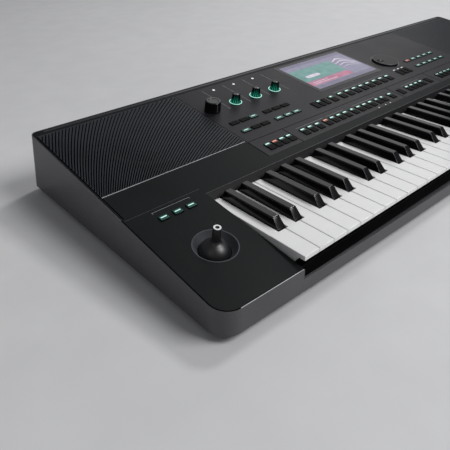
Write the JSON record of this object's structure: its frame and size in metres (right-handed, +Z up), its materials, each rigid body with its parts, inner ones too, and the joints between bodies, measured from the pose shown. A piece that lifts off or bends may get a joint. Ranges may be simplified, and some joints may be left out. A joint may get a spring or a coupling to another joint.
{
  "type": "arranger keyboard",
  "caption": "Arranger keyboard: sloping black top with piano keys, colour screen, button rows, knobs, data dial, joystick and two fan-slotted speaker grilles on a grey case.",
  "frame": {"origin": "under the middle of the body, on the plane the feet stand on", "axes": "+X along the keys towards the treble, +Y from the keys to the rear, +Z up"},
  "size_m": [1.064, 0.4024, 0.0975],
  "materials": {
    "case_grey": "satin",
    "case_black": "fine texture",
    "panel_black": "satin",
    "grille_black": "satin",
    "steel_black": "matte",
    "paper_black": "matte",
    "steel_bright": "bright",
    "felt": "felt",
    "board_green": "satin",
    "rubber_grey": "matte",
    "screen": "lit",
    "glass_dark": "polished",
    "jack_black": "satin",
    "rubber_black": "matte",
    "bowl_grey": "gloss",
    "light_mint": "lit",
    "knob_black": "satin",
    "button_dark": "satin",
    "key_white": "gloss",
    "key_black": "satin"
  },
  "bodies": {
    "case": {"bottom_case": "case_grey", "top_case": "case_black", "control_panel": "panel_black", "speaker_grille_left": "grille_black", "speaker_grille_right": "grille_black", "speaker_baskets": "steel_black", "speaker_cones": "paper_black", "key_bed": "steel_black", "key_pivot_rod": "steel_bright", "key_stop_felts": "felt", "key_contact_board": "board_green", "key_contact_rubber": "rubber_grey", "key_return_springs": "steel_bright", "main_board": "board_green", "panel_board": "board_green", "power_amp_board": "board_green", "display_panel": "screen", "display_glass": "glass_dark", "rear_jacks": "jack_black", "rubber_feet": "rubber_black", "case_screws": "steel_bright", "joystick_bowl": "bowl_grey", "joystick_base": "jack_black", "potentiometers": "jack_black", "knob_light_rings": "light_mint"},
    "key_c": {"key_c": "key_white"},
    "key_c_sharp": {"key_c_sharp": "key_black"},
    "key_d": {"key_d": "key_white"},
    "key_d_sharp": {"key_d_sharp": "key_black"},
    "key_e": {"key_e": "key_white"},
    "key_f": {"key_f": "key_white"},
    "key_f_sharp": {"key_f_sharp": "key_black"},
    "key_g": {"key_g": "key_white"},
    "key_g_sharp": {"key_g_sharp": "key_black"},
    "key_a": {"key_a": "key_white"},
    "key_a_sharp": {"key_a_sharp": "key_black"},
    "key_b": {"key_b": "key_white"},
    "keys_octave_2": {"keys_octave_2": "key_white"},
    "keys_octave_3": {"keys_octave_3": "key_white"},
    "keys_octave_4": {"keys_octave_4": "key_white"},
    "keys_octave_5": {"keys_octave_5": "key_white"},
    "buttons_style": {"buttons_style": "button_dark"},
    "buttons_long_row": {"buttons_long_row": "button_dark"},
    "buttons_voice": {"buttons_voice": "button_dark"},
    "buttons_right_cluster": {"buttons_right_cluster": "button_dark"},
    "buttons_under_screen": {"buttons_under_screen": "button_dark"},
    "buttons_navigation": {"buttons_navigation": "button_dark"},
    "buttons_upper_left": {"buttons_upper_left": "button_dark"},
    "buttons_upper_right": {"buttons_upper_right": "button_dark"},
    "cheek_button_1": {"cheek_button_1": "button_dark"},
    "cheek_button_2": {"cheek_button_2": "button_dark"},
    "cheek_button_3": {"cheek_button_3": "button_dark"},
    "volume_knob": {"volume_knob": "knob_black"},
    "assign_knob_1": {"assign_knob_1": "knob_black"},
    "assign_knob_2": {"assign_knob_2": "knob_black"},
    "assign_knob_3": {"assign_knob_3": "knob_black"},
    "data_dial": {"data_dial": "knob_black"},
    "joystick_gimbal": {"joystick_gimbal": "jack_black"},
    "joystick_stick": {"joystick_stick": "knob_black"},
    "power_switch": {"power_switch": "button_dark"}
  },
  "joints": [
    {"name": "key_c_press", "type": "hinge", "parent": "case", "child": "key_c", "pos_m": [0, 0.0202, 0.0393], "axis": [1, 0, 0], "range_deg": [0, 3], "stiffness_Nm_per_rad": 2, "springref_deg": -2.86},
    {"name": "key_c_sharp_press", "type": "hinge", "parent": "case", "child": "key_c_sharp", "pos_m": [0, 0.0202, 0.0393], "axis": [1, 0, 0], "range_deg": [0, 3], "stiffness_Nm_per_rad": 2, "springref_deg": -2.86},
    {"name": "key_d_press", "type": "hinge", "parent": "case", "child": "key_d", "pos_m": [0, 0.0202, 0.0393], "axis": [1, 0, 0], "range_deg": [0, 3], "stiffness_Nm_per_rad": 2, "springref_deg": -2.86},
    {"name": "key_d_sharp_press", "type": "hinge", "parent": "case", "child": "key_d_sharp", "pos_m": [0, 0.0202, 0.0393], "axis": [1, 0, 0], "range_deg": [0, 3], "stiffness_Nm_per_rad": 2, "springref_deg": -2.86},
    {"name": "key_e_press", "type": "hinge", "parent": "case", "child": "key_e", "pos_m": [0, 0.0202, 0.0393], "axis": [1, 0, 0], "range_deg": [0, 3], "stiffness_Nm_per_rad": 2, "springref_deg": -2.86},
    {"name": "key_f_press", "type": "hinge", "parent": "case", "child": "key_f", "pos_m": [0, 0.0202, 0.0393], "axis": [1, 0, 0], "range_deg": [0, 3], "stiffness_Nm_per_rad": 2, "springref_deg": -2.86},
    {"name": "key_f_sharp_press", "type": "hinge", "parent": "case", "child": "key_f_sharp", "pos_m": [0, 0.0202, 0.0393], "axis": [1, 0, 0], "range_deg": [0, 3], "stiffness_Nm_per_rad": 2, "springref_deg": -2.86},
    {"name": "key_g_press", "type": "hinge", "parent": "case", "child": "key_g", "pos_m": [0, 0.0202, 0.0393], "axis": [1, 0, 0], "range_deg": [0, 3], "stiffness_Nm_per_rad": 2, "springref_deg": -2.86},
    {"name": "key_g_sharp_press", "type": "hinge", "parent": "case", "child": "key_g_sharp", "pos_m": [0, 0.0202, 0.0393], "axis": [1, 0, 0], "range_deg": [0, 3], "stiffness_Nm_per_rad": 2, "springref_deg": -2.86},
    {"name": "key_a_press", "type": "hinge", "parent": "case", "child": "key_a", "pos_m": [0, 0.0202, 0.0393], "axis": [1, 0, 0], "range_deg": [0, 3], "stiffness_Nm_per_rad": 2, "springref_deg": -2.86},
    {"name": "key_a_sharp_press", "type": "hinge", "parent": "case", "child": "key_a_sharp", "pos_m": [0, 0.0202, 0.0393], "axis": [1, 0, 0], "range_deg": [0, 3], "stiffness_Nm_per_rad": 2, "springref_deg": -2.86},
    {"name": "key_b_press", "type": "hinge", "parent": "case", "child": "key_b", "pos_m": [0, 0.0202, 0.0393], "axis": [1, 0, 0], "range_deg": [0, 3], "stiffness_Nm_per_rad": 2, "springref_deg": -2.86},
    {"name": "keys_octave_2_press", "type": "hinge", "parent": "case", "child": "keys_octave_2", "pos_m": [0, 0.0202, 0.0393], "axis": [1, 0, 0], "range_deg": [0, 3], "stiffness_Nm_per_rad": 24, "springref_deg": -2.86},
    {"name": "keys_octave_3_press", "type": "hinge", "parent": "case", "child": "keys_octave_3", "pos_m": [0, 0.0202, 0.0393], "axis": [1, 0, 0], "range_deg": [0, 3], "stiffness_Nm_per_rad": 24, "springref_deg": -2.86},
    {"name": "keys_octave_4_press", "type": "hinge", "parent": "case", "child": "keys_octave_4", "pos_m": [0, 0.0202, 0.0393], "axis": [1, 0, 0], "range_deg": [0, 3], "stiffness_Nm_per_rad": 24, "springref_deg": -2.86},
    {"name": "keys_octave_5_press", "type": "hinge", "parent": "case", "child": "keys_octave_5", "pos_m": [0, 0.0202, 0.0393], "axis": [1, 0, 0], "range_deg": [0, 3], "stiffness_Nm_per_rad": 24, "springref_deg": -2.86},
    {"name": "buttons_style_press", "type": "slide", "parent": "case", "child": "buttons_style", "axis": [0, 0.1357, -0.9907], "range_m": [0, 0.001], "stiffness_N_per_m": 2000, "springref_m": -0.0005},
    {"name": "buttons_long_row_press", "type": "slide", "parent": "case", "child": "buttons_long_row", "axis": [0, 0.1357, -0.9907], "range_m": [0, 0.001], "stiffness_N_per_m": 2000, "springref_m": -0.0005},
    {"name": "buttons_voice_press", "type": "slide", "parent": "case", "child": "buttons_voice", "axis": [0, 0.1357, -0.9907], "range_m": [0, 0.001], "stiffness_N_per_m": 2000, "springref_m": -0.0005},
    {"name": "buttons_right_cluster_press", "type": "slide", "parent": "case", "child": "buttons_right_cluster", "axis": [0, 0.1357, -0.9907], "range_m": [0, 0.001], "stiffness_N_per_m": 2000, "springref_m": -0.0005},
    {"name": "buttons_under_screen_press", "type": "slide", "parent": "case", "child": "buttons_under_screen", "axis": [0, 0.1357, -0.9907], "range_m": [0, 0.001], "stiffness_N_per_m": 2000, "springref_m": -0.0005},
    {"name": "buttons_navigation_press", "type": "slide", "parent": "case", "child": "buttons_navigation", "axis": [0, 0.1357, -0.9907], "range_m": [0, 0.001], "stiffness_N_per_m": 2000, "springref_m": -0.0005},
    {"name": "buttons_upper_left_press", "type": "slide", "parent": "case", "child": "buttons_upper_left", "axis": [0, 0.1357, -0.9907], "range_m": [0, 0.001], "stiffness_N_per_m": 2000, "springref_m": -0.0005},
    {"name": "buttons_upper_right_press", "type": "slide", "parent": "case", "child": "buttons_upper_right", "axis": [0, 0.1357, -0.9907], "range_m": [0, 0.001], "stiffness_N_per_m": 2000, "springref_m": -0.0005},
    {"name": "cheek_button_1_press", "type": "slide", "parent": "case", "child": "cheek_button_1", "axis": [0, 0.1357, -0.9907], "range_m": [0, 0.001], "stiffness_N_per_m": 800, "springref_m": -0.0005},
    {"name": "cheek_button_2_press", "type": "slide", "parent": "case", "child": "cheek_button_2", "axis": [0, 0.1357, -0.9907], "range_m": [0, 0.001], "stiffness_N_per_m": 800, "springref_m": -0.0005},
    {"name": "cheek_button_3_press", "type": "slide", "parent": "case", "child": "cheek_button_3", "axis": [0, 0.1357, -0.9907], "range_m": [0, 0.001], "stiffness_N_per_m": 800, "springref_m": -0.0005},
    {"name": "volume_turn", "type": "hinge", "parent": "case", "child": "volume_knob", "pos_m": [-0.28201, 0.11208, 0.07948], "axis": [0, -0.1357, 0.9907], "range_deg": [-150, 150]},
    {"name": "assign_turn_1", "type": "hinge", "parent": "case", "child": "assign_knob_1", "pos_m": [-0.232, 0.11458, 0.07982], "axis": [0, -0.1357, 0.9907], "continuous": true},
    {"name": "assign_turn_2", "type": "hinge", "parent": "case", "child": "assign_knob_2", "pos_m": [-0.18802, 0.11458, 0.07982], "axis": [0, -0.1357, 0.9907], "continuous": true},
    {"name": "assign_turn_3", "type": "hinge", "parent": "case", "child": "assign_knob_3", "pos_m": [-0.14399, 0.11458, 0.07982], "axis": [0, -0.1357, 0.9907], "continuous": true},
    {"name": "dial_turn", "type": "hinge", "parent": "case", "child": "data_dial", "pos_m": [0.14001, 0.08807, 0.07619], "axis": [0, -0.1357, 0.9907], "continuous": true},
    {"name": "joystick_tilt", "type": "hinge", "parent": "case", "child": "joystick_gimbal", "pos_m": [-0.4742, -0.11357, 0.03646], "axis": [1, 0, 0], "range_deg": [-20, 20], "stiffness_Nm_per_rad": 0.3},
    {"name": "joystick_bend", "type": "hinge", "parent": "joystick_gimbal", "child": "joystick_stick", "pos_m": [-0.4742, -0.11357, 0.03646], "axis": [0, 0.9907, 0.1357], "range_deg": [-20, 20], "stiffness_Nm_per_rad": 0.3},
    {"name": "power_press", "type": "slide", "parent": "case", "child": "power_switch", "axis": [0, -1, 0], "range_m": [0, 0.0016], "stiffness_N_per_m": 600, "springref_m": -0.0005}
  ]
}
